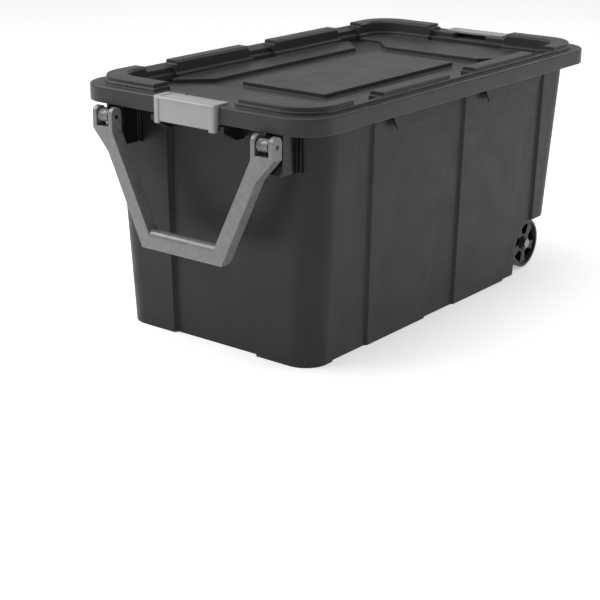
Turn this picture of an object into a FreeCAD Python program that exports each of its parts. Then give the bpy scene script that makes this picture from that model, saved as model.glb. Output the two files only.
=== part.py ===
import FreeCAD, Part
import math
import os
import re
import Sketcher

# Wheeled storage tote with a lift-off lid, two end latches and a swinging pull handle.
# Frame: origin on the floor under the middle of the tub, +X along the length from the
# handle end to the wheel end, +Z up.  Left is +Y, right is -Y.  Millimetres.

Vector = FreeCAD.Vector
doc = FreeCAD.newDocument("storage_tote")
sheet = doc.addObject("Spreadsheet::Sheet", "Sizes")

# Driving dimensions.
SIZES = {
    # moulded walls
    "wall": 2.5,
    "gap": 0.3,
    # tub: half sizes at the floor and at the underside of the rim
    "base_half_x": 403.6,
    "base_half_y": 216.4,
    "base_corner": 46,
    "neck_half_x": 416.1,
    "neck_half_y": 241.2,
    "neck_corner": 50,
    "neck_level": 424,
    "rim_half_x": 452,
    "rim_half_y": 252,
    "rim_corner": 52,
    # vertical grooves in the long walls, centre panel in the end walls
    "groove_pitch": 288,
    "groove_foot": 48,
    "groove_head": 20,
    "groove_depth": 4.5,
    "groove_run": 4,
    "panel_half": 93,
    "panel_top": 394,
    "panel_depth": 8,
    "panel_run": 4,
    # trapezoid lips under the rim of the long sides
    "lip_start": -230,
    "lip_length": 214,
    "lip_pitch": 300,
    "lip_slope": 19,
    "lip_drop": 30,
    # lid
    "lid_half_x": 466.5,
    "lid_half_y": 262,
    "lid_corner": 60,
    "ledge_level": 450,
    "skirt_depth": 29,
    "lid_edge": 4,
    "rib_half_x": 449,
    "rib_half_y": 250,
    "rib_height": 13,
    "rib_step": 4,
    "rib_chamfer": 4,
    "kerb": 5.5,
    "dish_half_x": 408,
    "dish_half_y": 218,
    "dish_corner": 50,
    "bay": 10,
    "seat_level": 440,
    "seat_width": 8,
    "field_level": 425,
    "pad_height": 8.5,
    "channel_pitch": 291,
    "channel_half": 38,
    "saddle_half": 90,
    "slot_length": 40,
    "slot_width": 5,
    "slot_half_y": 255.5,
    # raised pads of the lid's field
    "centre_pad_x": 208,
    "centre_pad_y": 94,
    "end_pad_x": 272,
    "end_pad_y": 110,
    "side_pad_x": 220,
    "side_pad_y": 150,
    "pad_chamfer": 52,
    # latches
    "latch_half": 68,
    "latch_band": 12,
    "latch_front": 476.5,
    "latch_reach": 439,
    "latch_top": 453,
    "latch_wall": 4,
    "latch_pin_x": 462,
    "latch_pin_z": 412,
    "latch_pin_radius": 2.5,
    "latch_barrel": 5.5,
    "latch_lug": 13,
    "latch_round": 5,
    "pull_window_half": 40,
    # pull handle
    "pivot_x": 476,
    "pivot_z": 403,
    "pivot_y": 177.5,
    "handle_depth": 24,
    "ear_top": 16.5,
    "clevis_half": 23,
    "ear": 8.5,
    "clevis_floor": 17,
    "clevis_base": 381,
    "shoulder_level": 343,
    "shoulder_y": 165.7,
    "grip_bottom": 184.5,
    "grip_height": 33,
    "grip_bottom_y": 90.5,
    "grip_top_y": 77,
    "pivot_pin_radius": 4,
    "pin_play": 0.05,
    # handle brackets on the end wall
    "bracket_front": 457,
    "bracket_bottom": 350,
    "bracket_top": 420,
    "bracket_half": 19,
    "bracket_flange": 6,
    "knuckle_radius": 11,
    "knuckle_half": 13.8,
    # wheels
    "wheel_radius": 50,
    "wheel_x": 341,
    "wheel_z": 53,
    "wheel_outer": 205,
    "wheel_inner": 173,
    "wheel_rim": 6,
    "hub_radius": 14,
    "spokes": 5,
    "window_inner": 19,
    "window_outer": 39,
    "window_inner_half": 6,
    "window_outer_half": 15,
    "arch_gap": 8,
    "well_face": 168,
    "axle_radius": 5,
    "axle_depth": 21,
    "axle_head": 9,
}

for row, (alias, number) in enumerate(SIZES.items(), start=1):
    sheet.set("A%d" % row, alias)
    sheet.set("B%d" % row, str(number))
    sheet.setAlias("B%d" % row, alias)
doc.recompute()

ALIAS = re.compile(r"[a-z][a-z_]+")


def sized(expression):
    """Point every size word of an expression at the sheet."""
    return ALIAS.sub(lambda word: "Sizes." + word.group(), str(expression))


def number(expression):
    """Present value of an expression of sheet sizes."""
    return float(sheet.evalExpression(sized(expression)))


def bind(item, **expressions):
    for name, expression in expressions.items():
        item.setExpression(name, sized(expression))


def place(item, x="0", y="0", z="0", rotation=None):
    if rotation is not None:
        item.Placement = FreeCAD.Placement(Vector(), rotation)
    for axis, expression in zip("xyz", (x, y, z)):
        item.setExpression(".Placement.Base." + axis, sized(expression))


def block(name, x, y, z):
    """Box between two expressions along each axis."""
    box = doc.addObject("Part::Box", name)
    spans = {"Length": x, "Width": y, "Height": z}
    bind(box, **{side: "(%s) - (%s)" % (high, low) for side, (low, high) in spans.items()})
    place(box, x[0], y[0], z[0])
    return box


def rod(name, radius, y, x, z):
    """Cylinder along Y between two expressions."""
    cylinder = doc.addObject("Part::Cylinder", name)
    bind(cylinder, Radius=radius, Height="(%s) - (%s)" % (y[1], y[0]))
    place(cylinder, x, y[0], z, FreeCAD.Rotation(Vector(0, 0, 1), Vector(0, 1, 0)))
    return cylinder


def rounded_outline(name, half_x, half_y, radius, level):
    """Horizontal rounded rectangle centred on the tub, fully constrained."""
    sketch = doc.addObject("Sketcher::SketchObject", name)
    place(sketch, z=level)
    reach_x, reach_y, corner = number(half_x), number(half_y), number(radius)
    corners = ((1, 1), (-1, 1), (-1, -1), (1, -1))
    for quarter, (sign_x, sign_y) in enumerate(corners):
        centre = Vector(sign_x * (reach_x - corner), sign_y * (reach_y - corner), 0)
        circle = Part.Circle(centre, Vector(0, 0, 1), corner)
        start = quarter * math.pi / 2
        sketch.addGeometry(Part.ArcOfCircle(circle, start, start + math.pi / 2))
    for quarter in range(4):
        arc, following = sketch.Geometry[quarter], sketch.Geometry[(quarter + 1) % 4]
        sketch.addGeometry(Part.LineSegment(arc.EndPoint, following.StartPoint))
    for quarter in range(4):
        sketch.addConstraint(Sketcher.Constraint("Tangent", quarter, 2, 4 + quarter, 1))
        sketch.addConstraint(Sketcher.Constraint("Tangent", 4 + quarter, 2, (quarter + 1) % 4, 1))
    for quarter, (sign_x, sign_y) in enumerate(corners):
        limits = (
            (Sketcher.Constraint("Radius", quarter, corner), radius),
            (Sketcher.Constraint("DistanceX", -1, 1, quarter, 3, sign_x * (reach_x - corner)),
             "%d * ((%s) - (%s))" % (sign_x, half_x, radius)),
            (Sketcher.Constraint("DistanceY", -1, 1, quarter, 3, sign_y * (reach_y - corner)),
             "%d * ((%s) - (%s))" % (sign_y, half_y, radius)),
        )
        for constraint, expression in limits:
            index = sketch.addConstraint(constraint)
            sketch.setExpression("Constraints[%d]" % index, sized(expression))
    return sketch


def extrude(name, sketch, direction, length):
    solid = doc.addObject("Part::Extrusion", name)
    solid.Base = sketch
    solid.DirMode = "Custom"
    solid.Dir = direction
    solid.Solid = True
    bind(solid, LengthFwd=length)
    return solid


def slab(name, half_x, half_y, radius, z):
    """Upright rounded prism between two levels."""
    outline = rounded_outline(name + "_outline", half_x, half_y, radius, z[0])
    return extrude(name, outline, Vector(0, 0, 1), "(%s) - (%s)" % (z[1], z[0]))


def tapered(name, inset_x, inset_y, inset_corner, foot):
    """Drafted tub form between the floor and the neck, drawn in from the outer faces."""
    levels = (("foot", "base", foot), ("head", "neck", "neck_level"))
    sections = [
        rounded_outline(
            "%s_%s" % (name, end),
            "%s_half_x - (%s)" % (size, inset_x),
            "%s_half_y - (%s)" % (size, inset_y),
            "%s_corner - (%s)" % (size, inset_corner),
            level,
        )
        for end, size, level in levels
    ]
    return loft(name, sections)


PLANES = {
    # plane: (turn of the sketch, direction the prism grows, axis it grows along)
    "XZ": (FreeCAD.Rotation(Vector(1, 0, 0), 90), Vector(0, 1, 0), "y"),
    "YZ": (FreeCAD.Rotation(Vector(1, 1, 1), 120), Vector(1, 0, 0), "x"),
    "XY": (FreeCAD.Rotation(), Vector(0, 0, 1), "z"),
}


def polygon(name, plane, corners, level):
    """Closed outline of straight lines in a plane moved to a level."""
    turn, _, axis = PLANES[plane]
    sketch = doc.addObject("Sketcher::SketchObject", name)
    place(sketch, rotation=turn, **{axis: level})
    points = [Vector(number(u), number(v), 0) for u, v in corners]
    count = len(points)
    for index in range(count):
        sketch.addGeometry(Part.LineSegment(points[index], points[(index + 1) % count]))
    for index in range(count):
        sketch.addConstraint(Sketcher.Constraint("Coincident", index, 2, (index + 1) % count, 1))
    for index, (u, v) in enumerate(corners):
        for kind, expression in (("DistanceX", u), ("DistanceY", v)):
            constraint = Sketcher.Constraint(kind, -1, 1, index, 1, number(expression))
            added = sketch.addConstraint(constraint)
            sketch.setExpression("Constraints[%d]" % added, sized(expression))
    return sketch


def prism(name, plane, corners, span):
    """Straight solid on an outline given in the plane's own two coordinates."""
    outline = polygon(name + "_outline", plane, corners, span[0])
    return extrude(name, outline, PLANES[plane][1], "(%s) - (%s)" % (span[1], span[0]))


def loft(name, sections):
    """Straight-sided solid between two outlines."""
    solid = doc.addObject("Part::Loft", name)
    solid.Sections = sections
    solid.Solid = True
    solid.Ruled = True
    return solid


def fuse(name, *solids):
    union = doc.addObject("Part::MultiFuse", name)
    union.Shapes = list(solids)
    return union


def cut(name, base, *tools):
    removed = doc.addObject("Part::Cut", name)
    removed.Base = base
    removed.Tool = tools[0] if len(tools) == 1 else fuse(name + "_tools", *tools)
    return removed


def common(name, *solids):
    shared = doc.addObject("Part::MultiCommon", name)
    shared.Shapes = list(solids)
    return shared


def mirrored(name, source, normal):
    """Copy reflected in the plane through the origin with this normal."""
    twin = doc.addObject("Part::Mirroring", name)
    twin.Source = source
    twin.Normal = normal
    return twin


def both_sides(name, solid, normal):
    return fuse(name, solid, mirrored(name + "_twin", solid, normal))


def rounded(name, base, radius, choose):
    """Fillet every edge that the chooser accepts."""
    doc.recompute()
    size = number(radius)
    fillet = doc.addObject("Part::Fillet", name)
    fillet.Base = base
    edges = base.Shape.Edges
    fillet.Edges = [(i, size, size) for i, edge in enumerate(edges, start=1) if choose(edge)]
    return fillet


LENGTHWAYS = Vector(1, 0, 0)
SIDEWAYS = Vector(0, 1, 0)


def along(edge, axis):
    """True for a straight edge parallel to an axis."""
    if not isinstance(edge.Curve, Part.Line):
        return False
    return abs(abs(edge.Curve.Direction.dot(axis)) - 1) < 1e-6


def near(value, expression):
    return abs(value - number(expression)) < 0.01


# ---------------------------------------------------------------- tub
wide = "2 * rim_half_x"


def recess(name, centre, ends, depth, run, grow, outward):
    """Groove with sloped sides down a wall, its walls moved by grow.

    ends: level, half width of the groove's floor and position of the wall's face, at the
    foot and at the head; outward: turns along-the-wall and out-of-the-wall into X and Y.
    """
    sections = []
    for end, (level, half, face) in zip(("foot", "head"), ends):
        floor = "%s - %s - (%s)" % (face, depth, grow)
        mouth = "%s + %s" % (face, depth)
        side = "%s + (%s)" % (half, grow)
        flared = side + " + 2 * " + run
        corners = (
            outward("%s - (%s)" % (centre, flared), mouth),
            outward("%s - (%s)" % (centre, side), floor),
            outward("%s + %s" % (centre, side), floor),
            outward("%s + %s" % (centre, flared), mouth),
        )
        sections.append(polygon("%s_%s" % (name, end), "XY", corners, level))
    return loft(name, sections)


def wall_recesses(name, grow):
    """Three grooves in each long wall and one broad panel in each end wall."""
    groove_ends = (("0", "groove_foot", "base_half_y"), ("neck_level", "groove_head", "neck_half_y"))
    grooves = [
        recess(
            "%s_groove_%d" % (name, index),
            "%d * groove_pitch" % side,
            groove_ends,
            "groove_depth",
            "groove_run",
            grow,
            lambda along_wall, out: (along_wall, "-(%s)" % out),
        )
        for index, side in enumerate((-1, 0, 1))
    ]
    panel_face = "base_half_x + (neck_half_x - base_half_x) * panel_top / neck_level"
    panel = recess(
        name + "_panel",
        "0",
        (("0", "panel_half", "base_half_x"), ("panel_top", "panel_half", panel_face)),
        "panel_depth",
        "panel_run",
        grow,
        lambda along_wall, out: ("-(%s)" % out, along_wall),
    )
    grooved = both_sides(name + "_grooves", fuse(name + "_groove_row", *grooves), SIDEWAYS)
    return grooved, both_sides(name + "_panels", panel, LENGTHWAYS)


def wheel_well(name, extra):
    """Arch over the wheel, open to the side, the end and the floor; grown by extra."""
    reach = "wheel_radius + arch_gap + (%s)" % extra
    span = ("well_face - (%s)" % extra, wide)
    arch = rod(name + "_arch", reach, span, "wheel_x", "wheel_z - wall")
    mouth = block(
        name + "_mouth",
        ("wheel_x", wide),
        span,
        ("-%s" % wide, "wheel_z - wall + " + reach),
    )
    foot = block(
        name + "_foot",
        ("wheel_x - (%s)" % reach, wide),
        span,
        ("-%s" % wide, "wheel_z - wall"),
    )
    return both_sides(name, fuse(name + "_one", arch, mouth, foot), SIDEWAYS)


tub_form = tapered("tub_form", "0", "0", "0", "0")
hollow_form = tapered("hollow_form", "wall", "wall", "wall", "wall")

rim_z = ("neck_level", "ledge_level - wall - gap")
rim = slab("rim", "rim_half_x", "rim_half_y", "rim_corner", rim_z)
rim_room = slab(
    "rim_room",
    "rim_half_x - wall",
    "rim_half_y - wall",
    "rim_corner - wall",
    ("neck_level + wall", "ledge_level"),
)
neck_room = slab(
    "neck_room",
    "neck_half_x - wall",
    "neck_half_y - wall",
    "neck_corner - wall",
    ("neck_level", "neck_level + 2 * wall"),
)

tub_skin = cut("tub_skin", tub_form, *wall_recesses("outer", "0"), wheel_well("well", "0"))
tub_hollow = cut(
    "tub_hollow", hollow_form, *wall_recesses("inner", "wall"), wheel_well("well_walls", "wall")
)


def rim_lip(index):
    """Trapezoid flap that hangs from the edge of the rim on the right side."""
    start = "lip_start + %d * lip_pitch" % index
    end = start + " + lip_length"
    corners = (
        (start, "neck_level + wall / 2"),
        (start + " + lip_slope", "neck_level - lip_drop"),
        (end + " - lip_slope", "neck_level - lip_drop"),
        (end, "neck_level + wall / 2"),
    )
    return prism("lip_%d" % index, "XZ", corners, ("-rim_half_y", "-rim_half_y + wall"))


lips = both_sides("lips", fuse("lip_pair", rim_lip(0), rim_lip(1)), SIDEWAYS)

lug_corners = (
    ("-neck_half_x + wall", "panel_top - 4"),
    ("-neck_half_x - 20", "panel_top - 4"),
    ("-latch_pin_x - latch_barrel", "latch_pin_z - latch_barrel + 1"),
    ("-latch_pin_x - latch_barrel", "latch_pin_z + latch_barrel - 1"),
    ("-rim_half_x", "neck_level + 1"),
    ("-neck_half_x + wall", "neck_level + 1"),
)
lug = prism(
    "latch_lug_block",
    "XZ",
    lug_corners,
    ("latch_half + gap", "latch_half + gap + latch_lug"),
)
lugs = both_sides("latch_lugs", both_sides("latch_lug_pair", lug, SIDEWAYS), LENGTHWAYS)
lug_bore = rod(
    "lug_bore",
    "latch_pin_radius + pin_play",
    ("-latch_half - latch_lug - 1", "latch_half + latch_lug + 1"),
    "-latch_pin_x",
    "latch_pin_z",
)
lug_bores = both_sides("lug_bores", lug_bore, LENGTHWAYS)

axle_boss = rod(
    "axle_boss",
    "axle_radius + 8",
    ("well_face - wall - axle_depth + 2", "well_face - wall / 2"),
    "wheel_x",
    "wheel_z",
)
axle_socket = rod(
    "axle_socket",
    "axle_radius + pin_play",
    ("well_face - axle_depth", "well_face + 1"),
    "wheel_x",
    "wheel_z",
)
axle_bosses = both_sides("axle_bosses", axle_boss, SIDEWAYS)
axle_sockets = both_sides("axle_sockets", axle_socket, SIDEWAYS)

tub_walls = cut("tub_walls", fuse("tub_body", tub_skin, rim), tub_hollow, rim_room, neck_room)
tub = cut("tub", fuse("tub_fittings", tub_walls, lips, lugs, axle_bosses), lug_bores, axle_sockets)

# ---------------------------------------------------------------- lid
skirt_z = ("ledge_level - skirt_depth", "ledge_level")
lid_block = slab("lid_block", "lid_half_x", "lid_half_y", "lid_corner", skirt_z)
lid_plate = rounded(
    "lid_plate", lid_block, "lid_edge", lambda edge: near(edge.BoundBox.ZMin, "ledge_level")
)
skirt_room = slab(
    "skirt_room",
    "lid_half_x - wall",
    "lid_half_y - wall",
    "lid_corner - wall",
    ("ledge_level - skirt_depth - 1", "ledge_level - wall"),
)


def rib_gaps(name, shrink):
    """Strap channels across the long ribs and the saddles at the latches."""
    tall = ("field_level", "ledge_level + 2 * rib_height")
    channels = [
        block(
            "%s_channel_%d" % (name, index),
            ("%d * channel_pitch - channel_half - (%s)" % (side, shrink),
             "%d * channel_pitch + channel_half + (%s)" % (side, shrink)),
            ("-lid_half_y", "lid_half_y"),
            tall,
        )
        for index, side in enumerate((-1, 0, 1))
    ]
    saddle = block(
        name + "_saddle",
        ("-lid_half_x", "lid_half_x"),
        ("-saddle_half - (%s)" % shrink, "saddle_half + (%s)" % shrink),
        tall,
    )
    return fuse(name, saddle, *channels)


rib_low_block = slab(
    "rib_low_block",
    "rib_half_x",
    "rib_half_y",
    "dish_corner + 20",
    ("ledge_level - wall", "ledge_level + kerb"),
)
rib_low = rounded(
    "rib_low", rib_low_block, "2", lambda edge: near(edge.BoundBox.ZMin, "ledge_level + kerb")
)
rib_high_block = slab(
    "rib_high_block",
    "rib_half_x - rib_step",
    "rib_half_y - rib_step",
    "dish_corner + 20 - rib_step",
    ("ledge_level - wall", "ledge_level + rib_height"),
)
rib_high = rounded(
    "rib_high",
    rib_high_block,
    "2.5",
    lambda edge: near(edge.BoundBox.ZMin, "ledge_level + rib_height"),
)
kerb_ramps = [
    prism(
        "kerb_ramp_%d" % index,
        "YZ",
        (
            ("-rib_half_y", "ledge_level - 1"),
            ("-rib_half_y", "ledge_level + kerb"),
            ("6 - rib_half_y", "ledge_level + kerb"),
            ("22 - rib_half_y", "ledge_level"),
            ("22 - rib_half_y", "ledge_level - 1"),
        ),
        ("%d * channel_pitch - channel_half - rib_step" % side,
         "%d * channel_pitch + channel_half + rib_step" % side),
    )
    for index, side in enumerate((-1, 0, 1))
]
ribs = fuse(
    "ribs",
    cut("rib_low_parts", rib_low, rib_gaps("rib_low_gaps", "0")),
    cut("rib_high_parts", rib_high, rib_gaps("rib_high_gaps", "rib_step")),
    both_sides("kerbs", fuse("kerb_row", *kerb_ramps), SIDEWAYS),
)
rib_room = cut(
    "rib_room",
    slab(
        "rib_room_ring",
        "rib_half_x - rib_step - wall",
        "rib_half_y - rib_step - wall",
        "dish_corner + 20 - rib_step - wall",
        ("ledge_level - 2 * wall", "ledge_level + rib_height - wall"),
    ),
    rib_gaps("rib_room_gaps", "rib_step + wall"),
)


def dish_step(name, drawn_in, grow, z):
    """One level of the dish: its outline with a shallow bay at every rib gap."""
    out_x = "dish_half_x - (%s) + (%s)" % (drawn_in, grow)
    out_y = "dish_half_y - (%s) + (%s)" % (drawn_in, grow)
    bays = [
        block(
            "%s_bay_%d" % (name, index),
            ("%d * channel_pitch - channel_half - (%s)" % (side, grow),
             "%d * channel_pitch + channel_half + (%s)" % (side, grow)),
            ("-(%s) - bay" % out_y, "%s + bay" % out_y),
            z,
        )
        for index, side in enumerate((-1, 0, 1))
    ]
    end_bay = block(
        name + "_end_bay",
        ("-(%s) - bay" % out_x, "%s + bay" % out_x),
        ("-saddle_half - (%s)" % grow, "saddle_half + (%s)" % grow),
        z,
    )
    outline = slab(
        name + "_outline", out_x, out_y, "dish_corner - (%s) + (%s)" % (drawn_in, grow), z
    )
    return fuse(name, outline, end_bay, *bays)


def dish(name, grow, z, seat):
    """The lid's dish: opening above the seat, narrower well below it."""
    upper = dish_step(name + "_upper", "0", grow, (seat, z[1]))
    lower = dish_step(name + "_lower", "seat_width", grow, z)
    return fuse(name, upper, lower)


rib_top = "ledge_level + rib_height"
dish_flare = loft(
    "dish_flare",
    [
        rounded_outline(
            "dish_flare_" + end,
            "dish_half_x + (%s)" % grow,
            "dish_half_y + (%s)" % grow,
            "dish_corner + (%s)" % grow,
            level,
        )
        for end, grow, level in (
            ("foot", "0", rib_top + " - rib_chamfer"),
            ("head", "2 * rib_chamfer", rib_top + " + rib_chamfer"),
        )
    ],
)
dish_top = fuse(
    "dish_top",
    dish("dish_opening", "0", ("field_level", "ledge_level + 2 * rib_height"), "seat_level"),
    dish_flare,
)
dish_shell = dish(
    "dish_shell", "wall", ("field_level - wall", "ledge_level"), "seat_level - wall"
)
dish_drop = dish(
    "dish_drop", "wall", ("field_level - wall", "ledge_level - wall"), "seat_level - wall"
)
rib_inner_wall = dish(
    "rib_inner_wall",
    "wall + rib_chamfer / 2",
    ("field_level", "ledge_level + 2 * rib_height"),
    "seat_level",
)


def field_pads(name, shrink, z):
    """Raised pads: one in the middle, one along each side and each end of the field."""
    centre = block(
        name + "_centre",
        ("-centre_pad_x + (%s)" % shrink, "centre_pad_x - (%s)" % shrink),
        ("-centre_pad_y + (%s)" % shrink, "centre_pad_y - (%s)" % shrink),
        z,
    )
    side = prism(
        name + "_side",
        "XY",
        (
            ("-side_pad_x + (%s)" % shrink, "side_pad_y + (%s)" % shrink),
            ("side_pad_x - (%s)" % shrink, "side_pad_y + (%s)" % shrink),
            ("side_pad_x + pad_chamfer - (%s)" % shrink, "side_pad_y + pad_chamfer + (%s)" % shrink),
            ("side_pad_x + pad_chamfer - (%s)" % shrink, "dish_half_y"),
            ("-side_pad_x - pad_chamfer + (%s)" % shrink, "dish_half_y"),
            ("-side_pad_x - pad_chamfer + (%s)" % shrink, "side_pad_y + pad_chamfer + (%s)" % shrink),
        ),
        z,
    )
    end = prism(
        name + "_end",
        "XY",
        (
            ("end_pad_x + (%s)" % shrink, "-end_pad_y + (%s)" % shrink),
            ("end_pad_x + pad_chamfer + (%s)" % shrink, "-end_pad_y - pad_chamfer + (%s)" % shrink),
            ("end_pad_x + pad_chamfer + (%s)" % shrink, "-dish_half_y"),
            ("dish_half_x", "-dish_half_y"),
            ("dish_half_x", "dish_half_y"),
            ("end_pad_x + pad_chamfer + (%s)" % shrink, "dish_half_y"),
            ("end_pad_x + pad_chamfer + (%s)" % shrink, "end_pad_y + pad_chamfer - (%s)" % shrink),
            ("end_pad_x + (%s)" % shrink, "end_pad_y - (%s)" % shrink),
        ),
        z,
    )
    sides = both_sides(name + "_sides", side, SIDEWAYS)
    ends = both_sides(name + "_ends", end, LENGTHWAYS)
    pads = fuse(name + "_pads", centre, sides, ends)
    well = slab(
        name + "_limit",
        "dish_half_x - seat_width + wall / 2 - (%s) * 1.5" % shrink,
        "dish_half_y - seat_width + wall / 2 - (%s) * 1.5" % shrink,
        "dish_corner - seat_width + wall / 2 - (%s) * 1.5" % shrink,
        z,
    )
    return common(name, pads, well)


pads = field_pads("pads", "0", ("field_level - wall / 2", "field_level + pad_height"))
pad_room = field_pads(
    "pad_room", "wall", ("field_level - 2 * wall", "field_level + pad_height - wall")
)

slot_blocks = [
    block(
        "strap_slot_%d" % index,
        ("%d * channel_pitch - slot_length / 2" % side, "%d * channel_pitch + slot_length / 2" % side),
        ("slot_half_y - slot_width / 2", "slot_half_y + slot_width / 2"),
        ("ledge_level - 2 * wall", "ledge_level + wall"),
    )
    for index, side in enumerate((-1, 1))
]
strap_slots = both_sides("strap_slots", fuse("strap_slot_pair", *slot_blocks), SIDEWAYS)

pull_pocket = both_sides(
    "pull_pockets",
    block(
        "pull_pocket",
        ("-latch_reach - 3", "-dish_half_x"),
        ("-pull_window_half", "pull_window_half"),
        ("seat_level", "ledge_level + 1"),
    ),
    LENGTHWAYS,
)
pull_walls = both_sides(
    "pull_walls",
    block(
        "pull_wall",
        ("1 - latch_reach", "-dish_half_x - bay"),
        ("-pull_window_half - wall", "pull_window_half + wall"),
        ("seat_level - wall", "ledge_level - 1"),
    ),
    LENGTHWAYS,
)

latch_notch = block(
    "latch_notch",
    ("-lid_half_x - wall", "1 - latch_reach"),
    ("-latch_half - wall", "latch_half + wall"),
    ("ledge_level - skirt_depth - 1", "ledge_level + rib_height"),
)
latch_notches = both_sides("latch_notches", latch_notch, LENGTHWAYS)

lid_top = cut("lid_top", fuse("lid_form", lid_plate, ribs), dish_top)
lid_under = cut("lid_under", skirt_room, dish_drop)
lid_shell = cut("lid_shell", fuse("lid_solid", lid_top, cut("dish_wall", dish_shell, dish_top)), lid_under)
lid = cut(
    "lid",
    fuse("lid_padded", lid_shell, pads, pull_walls),
    cut("rib_hollow", rib_room, dish_shell, rib_inner_wall),
    pull_pocket,
    pad_room,
    strap_slots,
    latch_notches,
)

# ---------------------------------------------------------------- latches
latch_low = "latch_pin_z - latch_barrel"
latch_block = block(
    "latch_block",
    ("-latch_front", "-latch_reach"),
    ("-latch_half", "latch_half"),
    (latch_low, "latch_top"),
)


def is_latch_corner(edge):
    upright = along(edge, Vector(0, 0, 1)) and near(edge.BoundBox.XMin, "-latch_front")
    crest = along(edge, SIDEWAYS) and near(edge.BoundBox.XMin, "-latch_front")
    return upright or (crest and near(edge.BoundBox.ZMin, "latch_top"))


latch_form = rounded("latch_form", latch_block, "latch_round", is_latch_corner)
latch_field = (
    block(
        "latch_field_front",
        ("-latch_front - 1", "1.5 - latch_front"),
        ("latch_band - latch_half", "latch_half - latch_band"),
        (latch_low + " - 1", "latch_top - latch_round"),
    ),
    block(
        "latch_field_roof",
        ("latch_round - latch_front", "-latch_reach - 3"),
        ("latch_band - latch_half", "latch_half - latch_band"),
        ("latch_top - 1", "latch_top + 1"),
    ),
)
latch_room = block(
    "latch_room",
    ("latch_wall - latch_front", "-latch_reach + 1"),
    ("latch_wall - latch_half", "latch_half - latch_wall"),
    (latch_low + " - 1", "latch_top - latch_wall"),
)
latch_back = block(
    "latch_back",
    ("-rim_half_x - 2", "-latch_reach + 1"),
    ("-latch_half - 1", "latch_half + 1"),
    (latch_low + " - 1", "latch_top - latch_wall"),
)
latch_foot = block(
    "latch_foot",
    ("-latch_front - 1", "latch_wall - latch_front + 1"),
    ("latch_band - latch_half", "latch_half - latch_band"),
    (latch_low + " - 1", latch_low + " + 5"),
)
latch_shell = cut("latch_shell", latch_form, latch_room, latch_back, latch_foot, *latch_field)
latch_lip = block(
    "latch_lip",
    ("-latch_reach - latch_wall", "-latch_reach"),
    ("-latch_half", "latch_half"),
    ("ledge_level - 2", "latch_top - 2"),
)
latch_web = block(
    "latch_web",
    ("latch_wall - latch_front - 1", "-latch_pin_x"),
    ("-latch_half + 1", "latch_half - 1"),
    (latch_low + " + 5", "latch_pin_z + latch_barrel"),
)
latch_cheek = both_sides(
    "latch_cheeks",
    block(
        "latch_cheek",
        ("latch_wall - latch_front - 1", "-latch_pin_x"),
        ("latch_half - latch_wall", "latch_half"),
        (latch_low, "latch_pin_z + latch_barrel"),
    ),
    SIDEWAYS,
)
latch_tube = rod(
    "latch_tube",
    "latch_barrel",
    ("-latch_half", "latch_half"),
    "-latch_pin_x",
    "latch_pin_z",
)
latch_bore = rod(
    "latch_bore",
    "latch_pin_radius + pin_play",
    ("-latch_half - 1", "latch_half + 1"),
    "-latch_pin_x",
    "latch_pin_z",
)
latch_front = cut(
    "latch_front",
    fuse("latch_solid", latch_shell, latch_lip, latch_web, latch_cheek, latch_tube),
    latch_bore,
)
latch_rear = mirrored("latch_rear", latch_front, LENGTHWAYS)
latch_pin_front = rod(
    "latch_pin_front",
    "latch_pin_radius",
    ("-latch_half - latch_lug", "latch_half + latch_lug"),
    "-latch_pin_x",
    "latch_pin_z",
)
latch_pin_rear = mirrored("latch_pin_rear", latch_pin_front, LENGTHWAYS)

# ---------------------------------------------------------------- pull handle
handle_x = ("-pivot_x - handle_depth / 2", "-pivot_x + handle_depth / 2")
clevis_in = "pivot_y - clevis_half"
clevis_out = "pivot_y + clevis_half"
half_outline = [
    ("grip_bottom_y", "grip_bottom"),
    ("shoulder_y", "shoulder_level"),
    (clevis_out, "clevis_base"),
    (clevis_out, "pivot_z + ear_top"),
    (clevis_in, "pivot_z + ear_top"),
    (clevis_in, "clevis_base - 3"),
    ("grip_top_y", "grip_bottom + grip_height"),
]
other_half = [("-(%s)" % y, z) for y, z in reversed(half_outline)]
handle_plate = prism("handle_plate", "YZ", half_outline + other_half, handle_x)
clevis_slot = block(
    "clevis_slot",
    ("-pivot_x - handle_depth", "-pivot_x + handle_depth"),
    ("%s + ear" % clevis_in, "%s - ear" % clevis_out),
    ("pivot_z - clevis_floor", "pivot_z + 2 * ear_top"),
)
pivot_bore = rod(
    "pivot_bore",
    "pivot_pin_radius + pin_play",
    ("%s - 1" % clevis_in, "%s + 1" % clevis_out),
    "-pivot_x",
    "pivot_z",
)
handle_cut = cut(
    "handle_cut",
    handle_plate,
    both_sides("clevis_slots", clevis_slot, SIDEWAYS),
    both_sides("pivot_bores", pivot_bore, SIDEWAYS),
)


def is_ear_top(edge):
    return along(edge, SIDEWAYS) and near(edge.BoundBox.ZMin, "pivot_z + ear_top")


def is_grip_round(edge):
    if not along(edge, SIDEWAYS):
        return False
    top = near(edge.BoundBox.ZMin, "grip_bottom + grip_height")
    back = near(edge.BoundBox.XMin, handle_x[1])
    return top or (back and near(edge.BoundBox.ZMin, "grip_bottom"))


handle_ears = rounded("handle_ears", handle_cut, "handle_depth / 2 - 1", is_ear_top)
pull_handle = rounded("pull_handle", handle_ears, "handle_depth / 2 - 0.6", is_grip_round)

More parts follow.
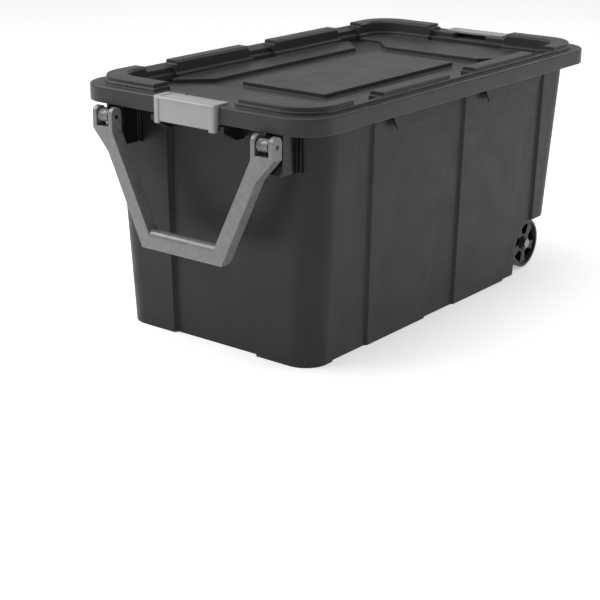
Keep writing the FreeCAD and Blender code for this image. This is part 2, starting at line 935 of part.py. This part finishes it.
# ---------------------------------------------------------------- handle brackets and pins
bracket_z = ("bracket_bottom", "bracket_top")
wall_x = "wall - base_half_x"
bracket_flange = block(
    "bracket_flange_plate",
    ("-neck_half_x - 4", wall_x),
    ("pivot_y - bracket_half - bracket_flange", "pivot_y + bracket_half + 8"),
    bracket_z,
)
bracket_body = block(
    "bracket_body",
    ("-bracket_front", wall_x),
    ("pivot_y - bracket_half", "pivot_y + bracket_half"),
    bracket_z,
)
bracket_room = block(
    "bracket_room",
    ("4 - bracket_front", "-neck_half_x - 6"),
    ("pivot_y - bracket_half + 4", "pivot_y + bracket_half - 4"),
    ("bracket_bottom - 1", "bracket_top - 30"),
)
knuckle_arm = block(
    "knuckle_arm",
    ("-pivot_x", "1 - bracket_front"),
    ("pivot_y - knuckle_half", "pivot_y + knuckle_half"),
    ("pivot_z - knuckle_radius", "pivot_z + knuckle_radius"),
)
knuckle_barrel = rod(
    "knuckle_barrel",
    "knuckle_radius",
    ("pivot_y - knuckle_half", "pivot_y + knuckle_half"),
    "-pivot_x",
    "pivot_z",
)
knuckle_bore = rod(
    "knuckle_bore",
    "pivot_pin_radius + pin_play",
    ("pivot_y - knuckle_half - 1", "pivot_y + knuckle_half + 1"),
    "-pivot_x",
    "pivot_z",
)
handle_bracket_left = cut(
    "handle_bracket_left",
    fuse("bracket_solid", bracket_flange, bracket_body, knuckle_arm, knuckle_barrel),
    bracket_room,
    knuckle_bore,
    tub_form,
)
handle_bracket_right = mirrored("handle_bracket_right", handle_bracket_left, SIDEWAYS)
handle_pin_left = rod(
    "handle_pin_left",
    "pivot_pin_radius",
    ("%s + 0.5" % clevis_in, "%s - 0.5" % clevis_out),
    "-pivot_x",
    "pivot_z",
)
handle_pin_right = mirrored("handle_pin_right", handle_pin_left, SIDEWAYS)

# ---------------------------------------------------------------- wheels and axle pins
def origin_plane(body, role):
    return next(item for item in body.Origin.OriginFeatures if item.Role == role)


def body_sketch(body, name, role):
    sketch = body.newObject("Sketcher::SketchObject", name)
    sketch.AttachmentSupport = [(origin_plane(body, role), "")]
    sketch.MapMode = "FlatFace"
    return sketch


def constrain_outline(sketch, corners):
    """Closed outline of straight lines whose corners are bound to the sheet."""
    points = [Vector(number(u), number(v), 0) for u, v in corners]
    count = len(points)
    for index in range(count):
        sketch.addGeometry(Part.LineSegment(points[index], points[(index + 1) % count]))
    for index in range(count):
        sketch.addConstraint(Sketcher.Constraint("Coincident", index, 2, (index + 1) % count, 1))
    for index, (u, v) in enumerate(corners):
        for kind, expression in (("DistanceX", u), ("DistanceY", v)):
            added = sketch.addConstraint(
                Sketcher.Constraint(kind, -1, 1, index, 1, number(expression))
            )
            sketch.setExpression("Constraints[%d]" % added, sized(expression))


def wheel(name):
    """Wheel on the left side, turned about its own axis and pierced between the spokes."""
    body = doc.addObject("PartDesign::Body", name)
    section = body_sketch(body, name + "_section", "YZ_Plane")
    inner_face = "wheel_inner - wheel_outer"
    constrain_outline(
        section,
        (
            ("-2", "axle_radius + pin_play"),
            ("1", "axle_radius + pin_play"),
            ("1", "hub_radius"),
            ("-3", "hub_radius"),
            ("-3", "wheel_radius - wheel_rim"),
            ("0", "wheel_radius - wheel_rim"),
            ("0", "wheel_radius"),
            (inner_face, "wheel_radius"),
            (inner_face, "wheel_radius - wheel_rim"),
            ("-9", "wheel_radius - wheel_rim"),
            ("-9", "hub_radius"),
            ("%s - 4" % inner_face, "hub_radius"),
            ("%s - 4" % inner_face, "axle_radius + pin_play"),
        ),
    )
    turned = body.newObject("PartDesign::Revolution", name + "_turned")
    turned.Profile = section
    turned.ReferenceAxis = (section, ["H_Axis"])
    turned.Angle = 360
    doc.recompute()
    full = body.Shape.Volume
    opening = body_sketch(body, name + "_opening", "XZ_Plane")
    constrain_outline(
        opening,
        (
            ("-window_inner_half", "window_inner"),
            ("window_inner_half", "window_inner"),
            ("window_outer_half", "window_outer"),
            ("-window_outer_half", "window_outer"),
        ),
    )
    window = body.newObject("PartDesign::Pocket", name + "_window")
    window.Profile = opening
    window.Type = "ThroughAll"
    window.Midplane = True
    doc.recompute()
    if full - body.Shape.Volume < 1:
        raise RuntimeError(name + ": the spoke window cuts nothing")
    windows = body.newObject("PartDesign::PolarPattern", name + "_windows")
    windows.Originals = [window]
    windows.Axis = (section, ["H_Axis"])
    windows.Angle = 360
    windows.Occurrences = int(number("spokes"))
    body.Tip = windows
    place(body, "wheel_x", "wheel_outer", "wheel_z")
    return body


wheel_left = wheel("wheel_left")
wheel_right = mirrored("wheel_right", wheel_left, SIDEWAYS)
axle_pin_left = fuse(
    "axle_pin_left",
    rod(
        "axle_shank",
        "axle_radius",
        ("well_face - axle_depth + gap", "wheel_outer + 2"),
        "wheel_x",
        "wheel_z",
    ),
    rod(
        "axle_cap",
        "axle_head",
        ("wheel_outer + 1 + gap", "wheel_outer + 5"),
        "wheel_x",
        "wheel_z",
    ),
)
axle_pin_right = mirrored("axle_pin_right", axle_pin_left, SIDEWAYS)

# ---------------------------------------------------------------- write the pieces
NODES = (
    tub,
    lid,
    pull_handle,
    handle_bracket_left,
    handle_bracket_right,
    handle_pin_left,
    handle_pin_right,
    latch_front,
    latch_rear,
    latch_pin_front,
    latch_pin_rear,
    wheel_left,
    wheel_right,
    axle_pin_left,
    axle_pin_right,
)

doc.recompute()
for item in doc.Objects:
    if "Invalid" in item.State or "Error" in item.State:
        raise RuntimeError("%s did not build: %s" % (item.Label, item.State))
for node in NODES:
    if node.Shape.isNull() or not node.Shape.isValid():
        raise RuntimeError(node.Label + " has no valid shape")
os.makedirs("parts", exist_ok=True)
for node in NODES:
    node.Shape.exportStep("parts/%s.step" % node.Label)
    bounds = node.Shape.optimalBoundingBox()
    print(
        "%-22s solids %d  volume %9.0f mm3  x %7.1f %7.1f  y %7.1f %7.1f  z %6.1f %6.1f"
        % (node.Label, len(node.Shape.Solids), node.Shape.Volume, bounds.XMin, bounds.XMax,
           bounds.YMin, bounds.YMax, bounds.ZMin, bounds.ZMax)
    )
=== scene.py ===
import math

import bpy
from mathutils import Matrix, Vector


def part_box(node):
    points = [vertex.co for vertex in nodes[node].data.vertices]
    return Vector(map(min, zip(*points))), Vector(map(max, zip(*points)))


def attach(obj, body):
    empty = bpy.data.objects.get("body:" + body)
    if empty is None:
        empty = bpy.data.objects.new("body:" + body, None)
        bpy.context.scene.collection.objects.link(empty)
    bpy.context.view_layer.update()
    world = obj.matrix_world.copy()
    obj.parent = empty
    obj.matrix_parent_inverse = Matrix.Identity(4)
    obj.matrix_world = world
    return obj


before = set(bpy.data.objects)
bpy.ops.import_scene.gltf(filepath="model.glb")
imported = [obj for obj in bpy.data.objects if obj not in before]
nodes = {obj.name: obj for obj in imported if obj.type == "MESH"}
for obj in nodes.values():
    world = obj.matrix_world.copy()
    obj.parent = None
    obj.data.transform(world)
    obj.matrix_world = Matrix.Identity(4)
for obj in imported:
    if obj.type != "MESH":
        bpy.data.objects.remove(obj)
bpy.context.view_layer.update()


# ---------------------------------------------------------------- shader helpers
class Shader:
    """A material with its Principled shader and short calls to add nodes to it."""

    def __init__(self, name):
        self.material = bpy.data.materials.new(name)
        self.material.use_nodes = True
        self.tree = self.material.node_tree
        self.principled = self.tree.nodes["Principled BSDF"]

    def node(self, kind, inputs=(), **settings):
        node = self.tree.nodes.new("ShaderNode" + kind)
        for key, value in settings.items():
            setattr(node, key, value)
        for key, value in dict(inputs).items():
            if isinstance(value, bpy.types.NodeSocket):
                self.tree.links.new(value, node.inputs[key])
            else:
                node.inputs[key].default_value = value
        return node

    def coords(self, stretch=(1, 1, 1)):
        """Object coordinates in metres, optionally stretched."""
        place = self.node("TexCoord").outputs["Object"]
        return self.node("Mapping", {"Vector": place, "Scale": stretch}).outputs["Vector"]

    def noise(self, coords, scale, detail=3.0, roughness=0.55, distortion=0.0):
        values = {"Vector": coords, "Scale": scale, "Detail": detail}
        values.update({"Roughness": roughness, "Distortion": distortion})
        return self.node("TexNoise", values).outputs["Fac"]

    def span(self, value, source, target):
        values = {"Value": value, "From Min": source[0], "From Max": source[1]}
        values.update({"To Min": target[0], "To Max": target[1]})
        return self.node("MapRange", values).outputs["Result"]

    def math(self, operation, first, second=0.0):
        node = self.node("Math", operation=operation)
        for socket, value in zip(node.inputs, (first, second)):
            if isinstance(value, bpy.types.NodeSocket):
                self.tree.links.new(value, socket)
            else:
                socket.default_value = value
        return node.outputs[0]

    def ramp(self, value, stops):
        node = self.node("ValToRGB", {"Fac": value})
        elements = node.color_ramp.elements
        while len(elements) < len(stops):
            elements.new(0.5)
        for element, (position, colour) in zip(elements, stops):
            element.position = position
            element.color = (*colour, 1)
        return node.outputs["Color"]

    def mix(self, factor, first, second):
        node = self.node("Mix", data_type="RGBA")
        for key, value in ((0, factor), (6, first), (7, second)):
            if isinstance(value, bpy.types.NodeSocket):
                self.tree.links.new(value, node.inputs[key])
            else:
                node.inputs[key].default_value = value
        return node.outputs[2]

    def rounding(self, radius):
        """Normal that turns gradually over an edge, as on a moulded corner."""
        return self.node("Bevel", {"Radius": radius}, samples=8).outputs["Normal"]

    def mixed(self, first, second, share):
        """Weighted sum of two values, with this share of the second."""
        return self.math(
            "ADD", self.math("MULTIPLY", first, 1 - share), self.math("MULTIPLY", second, share)
        )

    def edges(self, soft):
        """1 on sharp edges, 0 on open faces, from how far a rounded normal leans."""
        flat = self.node("NewGeometry").outputs["Normal"]
        dot = self.node("VectorMath", {0: soft, 1: flat}, operation="DOT_PRODUCT").outputs["Value"]
        return self.span(dot, (0.985, 0.86), (0.0, 1.0))

    def bump(self, height, strength, distance, under=None):
        values = {"Height": height, "Strength": strength, "Distance": distance}
        if under is not None:
            values["Normal"] = under
        return self.node("Bump", values).outputs["Normal"]

    def feed(self, **sockets):
        for key, value in sockets.items():
            socket = self.principled.inputs[key.replace("_", " ")]
            if isinstance(value, bpy.types.NodeSocket):
                self.tree.links.new(value, socket)
            else:
                socket.default_value = value


def grey(level):
    return (level, level, level * 1.02)


def moulded(name, tone, rough, grain, **finish):
    """Injection-moulded plastic.

    tone: darkest and lightest base level; rough: lowest and highest roughness;
    grain: depth of the spark-eroded grain; wear: how much lighter the rubbed edges are;
    ripple: slow unevenness of the skin; drag: vertical streaks from the mould;
    specular: strength of the shine; turn: radius of the corners; mottle: share of
    small cloudy spots; scuff: strength of the rubbed marks.
    """
    look = {"wear": 2.2, "ripple": 0.05, "drag": 0.0, "specular": 0.5, "turn": 0.0016}
    look.update({"mottle": 0.0, "scuff": 0.0, **finish})
    s = Shader(name)
    coords = s.coords()
    cloud = s.noise(coords, 6.0, 5.0, 0.6, 0.4)
    if look["mottle"]:
        spots = s.noise(coords, 75.0, 4.0, 0.7, 0.6)
        cloud = s.mixed(cloud, spots, look["mottle"])
    blend = s.mixed(cloud, s.noise(coords, 420.0, 2.0, 0.5), 0.25)
    base = s.ramp(blend, ((0.32, grey(tone[0])), (0.68, grey(tone[1]))))
    if look["scuff"]:
        marks = s.noise(s.coords((1.0, 1.0, 0.45)), 11.0, 8.0, 0.75, 1.2)
        worn = s.span(marks, (0.60, 0.74), (0.0, look["scuff"]))
        base = s.mix(worn, base, (*grey(tone[1] * 2.4), 1))
    soft = s.rounding(look["turn"])
    patchy = s.span(s.noise(coords, 38.0, 4.0), (0.35, 0.6), (0.25, 1.0))
    rubbed = s.math("MULTIPLY", s.edges(soft), patchy)
    s.feed(Base_Color=s.mix(rubbed, base, (*grey(tone[1] * look["wear"]), 1)))
    dull = s.span(s.noise(coords, 17.0, 6.0, 0.65), (0.3, 0.7), rough)
    s.feed(Roughness=s.math("SUBTRACT", dull, s.math("MULTIPLY", rubbed, 0.08)))
    normal = s.bump(s.noise(coords, 7.0, 2.0), look["ripple"], 0.004, soft)
    if look["drag"]:
        streaks = s.noise(s.coords((60.0, 60.0, 1.2)), 1.0, 3.0)
        normal = s.bump(streaks, look["drag"], 0.0006, normal)
    pits = s.noise(coords, 1300.0, 2.0, 0.6)
    s.feed(Normal=s.bump(pits, grain, 0.00025, normal))
    s.feed(Specular_IOR_Level=look["specular"])
    return s.material


def metal(name, tone, rough):
    """Turned steel pin: fine rings round its axis and a slightly uneven shine."""
    s = Shader(name)
    coords = s.coords()
    base = s.ramp(s.noise(coords, 180.0, 4.0), ((0.3, grey(tone[0])), (0.7, grey(tone[1]))))
    s.feed(Base_Color=base, Metallic=1.0)
    s.feed(Roughness=s.span(s.noise(coords, 300.0, 3.0), (0.3, 0.7), rough))
    rings = s.noise(s.coords((1.0, 40.0, 1.0)), 60.0, 2.0)
    s.feed(Normal=s.bump(rings, 0.25, 0.0002))
    return s.material


tub_plastic = moulded(
    "tub_plastic", (0.0095, 0.0145), (0.38, 0.50), 0.30, drag=0.14, specular=0.28, scuff=0.35
)
# the lid's plastic is toned about three times lighter than the tub's; this lift is painted light,
# standing in for the brighter light the lid catches
lid_plastic = moulded(
    "lid_plastic", (0.031, 0.042), (0.34, 0.46), 0.26, wear=1.9, specular=0.22, turn=0.0026
)
handle_plastic = moulded(
    "handle_plastic", (0.105, 0.20), (0.24, 0.36), 0.35, wear=1.35, specular=0.62, mottle=0.7
)
latch_plastic = moulded("latch_plastic", (0.27, 0.32), (0.36, 0.46), 0.22, wear=1.15, turn=0.0026)
black_gloss = moulded(
    "black_gloss", (0.006, 0.009), (0.10, 0.18), 0.03, ripple=0.08, specular=0.3
)
wheel_plastic = moulded("wheel_plastic", (0.006, 0.009), (0.14, 0.24), 0.12, specular=0.28)
steel = metal("steel", (0.48, 0.60), (0.22, 0.34))
zinc = metal("zinc", (0.22, 0.32), (0.24, 0.36))
# near-black steel for the handle pins: the darkness is painted shade for the ear holes the pins
# sit in
dark_steel_painted_shade = metal("dark_steel_painted_shade", (0.035, 0.06), (0.30, 0.44))
sleeve_plastic = moulded("sleeve_plastic", (0.10, 0.14), (0.24, 0.34), 0.10, wear=1.2)


# ---------------------------------------------------------------- finish of the CAD nodes
SHARP_ANGLE = math.radians(32)  # edges that turn by more than this are rounded


def finish_node(name, material, edge):
    """Give a carried-over node its material and take the sharpness off its edges."""
    node = nodes[name]
    for slot in node.material_slots:
        slot.material = material
    bevel = node.modifiers.new("edge_round", "BEVEL")
    bevel.width = edge
    bevel.segments = 3
    bevel.limit_method = "ANGLE"
    bevel.angle_limit = SHARP_ANGLE
    bevel.use_clamp_overlap = True
    bevel.harden_normals = True


FINISHES = {
    "tub": (tub_plastic, 0.0012),
    "lid": (lid_plastic, 0.0014),
    "pull_handle": (handle_plastic, 0.0016),
    "handle_bracket_left": (black_gloss, 0.0012),
    "handle_bracket_right": (black_gloss, 0.0012),
    "handle_pin_left": (dark_steel_painted_shade, 0.0006),
    "handle_pin_right": (dark_steel_painted_shade, 0.0006),
    "latch_front": (latch_plastic, 0.0012),
    "latch_rear": (latch_plastic, 0.0012),
    "latch_pin_front": (steel, 0.0004),
    "latch_pin_rear": (steel, 0.0004),
    "wheel_left": (wheel_plastic, 0.0010),
    "wheel_right": (wheel_plastic, 0.0010),
    "axle_pin_left": (zinc, 0.0010),
    "axle_pin_right": (zinc, 0.0010),
}
for name, (material, edge) in FINISHES.items():
    finish_node(name, material, edge)


# ---------------------------------------------------------------- pieces added on the nodes
SLEEVE_HALF = 0.0112  # half the sleeve's length along the pin
SLEEVE_STEPS = 64  # facets round the sleeve
SLEEVE_SINK = 0.0010  # how far the sleeve's ends reach into the knuckle
SLEEVE_SKIN = 0.0003  # how far the sleeve stands proud of the knuckle
COLLAR_RISE = 0.0006  # the same for the collars
COLLAR_EDGE = 0.0005  # length of a collar's rounded outer edge
COLLAR_WIDTH = 0.0018  # from the sleeve's end to the inner edge of the collar's top
COLLAR_FOOT = 0.0022  # from the sleeve's end to the collar's foot


def sleeve(name, bracket, pin):
    """Light grey sleeve round the bracket's knuckle, with a raised collar at each end."""
    low, high = (Vector(corner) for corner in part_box(pin))
    axis = (low + high) / 2
    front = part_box(bracket)[0][0]
    radius = axis.x - front
    end_profile = (
        (0.0, -SLEEVE_SINK),
        (0.0, COLLAR_RISE / 3),
        (COLLAR_EDGE, COLLAR_RISE),
        (COLLAR_WIDTH, COLLAR_RISE),
        (COLLAR_FOOT, SLEEVE_SKIN),
    )
    profile = [(inward - SLEEVE_HALF, radius + rise) for inward, rise in end_profile]
    profile += [(SLEEVE_HALF - inward, radius + rise) for inward, rise in reversed(end_profile)]
    points, faces = [], []
    for turn in range(SLEEVE_STEPS):
        angle = 2 * math.pi * turn / SLEEVE_STEPS
        for along, reach in profile:
            points.append(axis + Vector((reach * math.cos(angle), along, reach * math.sin(angle))))
    ring = len(profile)
    for turn in range(SLEEVE_STEPS):
        start, after = turn * ring, (turn + 1) % SLEEVE_STEPS * ring
        for spot in range(ring):
            follow = (spot + 1) % ring
            faces.append((start + spot, start + follow, after + follow, after + spot))
    mesh = bpy.data.meshes.new(name)
    mesh.from_pydata(points, [], faces)
    mesh.shade_smooth()
    mesh.set_sharp_from_angle(angle=math.radians(50))
    mesh.materials.append(sleeve_plastic)
    piece = bpy.data.objects.new(name, mesh)
    bpy.context.scene.collection.objects.link(piece)
    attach(piece, "tub_body")


for side in ("left", "right"):
    sleeve("knuckle_sleeve_" + side, "handle_bracket_" + side, "handle_pin_" + side)


# ---------------------------------------------------------------- floor and light
FLOOR_HALF = 30
FACING = Vector((-0.78, -0.60, 0.15)).normalized()  # the way the box's lit end faces
WORLD_STRENGTH = {"From Min": 0.45, "From Max": 0.95, "To Min": 0.52, "To Max": 0.32}


def lamp(name, watts, size, spot, target):
    data = bpy.data.lights.new(name, "AREA")
    data.energy = watts
    data.shape = "RECTANGLE"
    data.size, data.size_y = size
    light = bpy.data.objects.new(name, data)
    light.location = spot
    light.rotation_euler = (Vector(target) - Vector(spot)).to_track_quat("-Z", "Y").to_euler()
    bpy.context.scene.collection.objects.link(light)


corner_signs = ((-1, -1), (1, -1), (1, 1), (-1, 1))
floor_corners = [(x * FLOOR_HALF, y * FLOOR_HALF, 0) for x, y in corner_signs]
floor_mesh = bpy.data.meshes.new("floor")
floor_mesh.from_pydata(floor_corners, [], [(0, 1, 2, 3)])
floor = bpy.data.objects.new("floor", floor_mesh)
bpy.context.scene.collection.objects.link(floor)
paint = Shader("floor_paint")
paint.feed(Base_Color=(0.90, 0.90, 0.90, 1), Roughness=0.85, Specular_IOR_Level=0.2)
paint.feed(Emission_Color=(1, 1, 1, 1), Emission_Strength=0.42)
floor_mesh.materials.append(paint.material)


def studio_world():
    """Even white light, dimmer from the side the box faces, and a plain white backdrop."""
    world = bpy.data.worlds.new("studio")
    world.use_nodes = True
    tree = world.node_tree
    background = tree.nodes["Background"]
    place = tree.nodes.new("ShaderNodeTexCoord")
    toward = tree.nodes.new("ShaderNodeVectorMath")
    toward.operation = "DOT_PRODUCT"
    toward.inputs[1].default_value = FACING
    dim = tree.nodes.new("ShaderNodeMapRange")
    dim.interpolation_type = "SMOOTHSTEP"
    for key, value in WORLD_STRENGTH.items():
        dim.inputs[key].default_value = value
    ray = tree.nodes.new("ShaderNodeLightPath")
    pick = tree.nodes.new("ShaderNodeMix")
    pick.inputs[3].default_value = 1.0
    tree.links.new(place.outputs["Generated"], toward.inputs[0])
    tree.links.new(toward.outputs["Value"], dim.inputs["Value"])
    tree.links.new(dim.outputs["Result"], pick.inputs[2])
    tree.links.new(ray.outputs["Is Camera Ray"], pick.inputs[0])
    tree.links.new(pick.outputs[0], background.inputs["Strength"])
    background.inputs["Color"].default_value = (1, 1, 1, 1)
    bpy.context.scene.world = world


studio_world()
bpy.context.scene.view_settings.view_transform = "Standard"

lamp("overhead", 21, (1.8, 1.4), (-0.1, 0.2, 2.6), (0, 0, 0.3))
lamp("left_bank", 28, (1.5, 0.8), (-0.9, 2.2, 2.1), (-0.2, 0, 0.35))
lamp("far_bank", 12, (1.4, 0.8), (2.8, -0.5, 1.9), (0, 0, 0.35))
lamp("end_bank", 20, (1.3, 1.0), (-1.75, 1.4, 1.85), (-0.45, 0, 0.3))
lamp("right_bank", 6, (1.8, 0.8), (0.6, -2.4, 2.4), (0.1, 0, 0.35))


# ---------------------------------------------------------------- camera
PLACE = (-2.29807, -1.65294, 0.9559)
LENS = 89.83
SENSOR = 36
SHIFT = (0.0188, 0.0413)  # the photograph's framing is off the lens's axis
AZIMUTH = math.radians(38.072)
PITCH = math.radians(20.090)
ROLL = math.radians(0.365)
ahead = Vector(
    (math.cos(PITCH) * math.cos(AZIMUTH), math.cos(PITCH) * math.sin(AZIMUTH), -math.sin(PITCH))
)
level = ahead.cross(Vector((0, 0, 1))).normalized()
upright = level.cross(ahead)
right = level * math.cos(ROLL) + upright * math.sin(ROLL)
up = upright * math.cos(ROLL) - level * math.sin(ROLL)
lens = bpy.data.cameras.new("camera")
lens.lens = LENS
lens.sensor_width = SENSOR
lens.shift_x, lens.shift_y = SHIFT
camera = bpy.data.objects.new("camera", lens)
turn = Matrix((right, up, -ahead)).transposed().to_4x4()
camera.matrix_world = Matrix.Translation(PLACE) @ turn
bpy.context.scene.collection.objects.link(camera)
bpy.context.scene.camera = camera
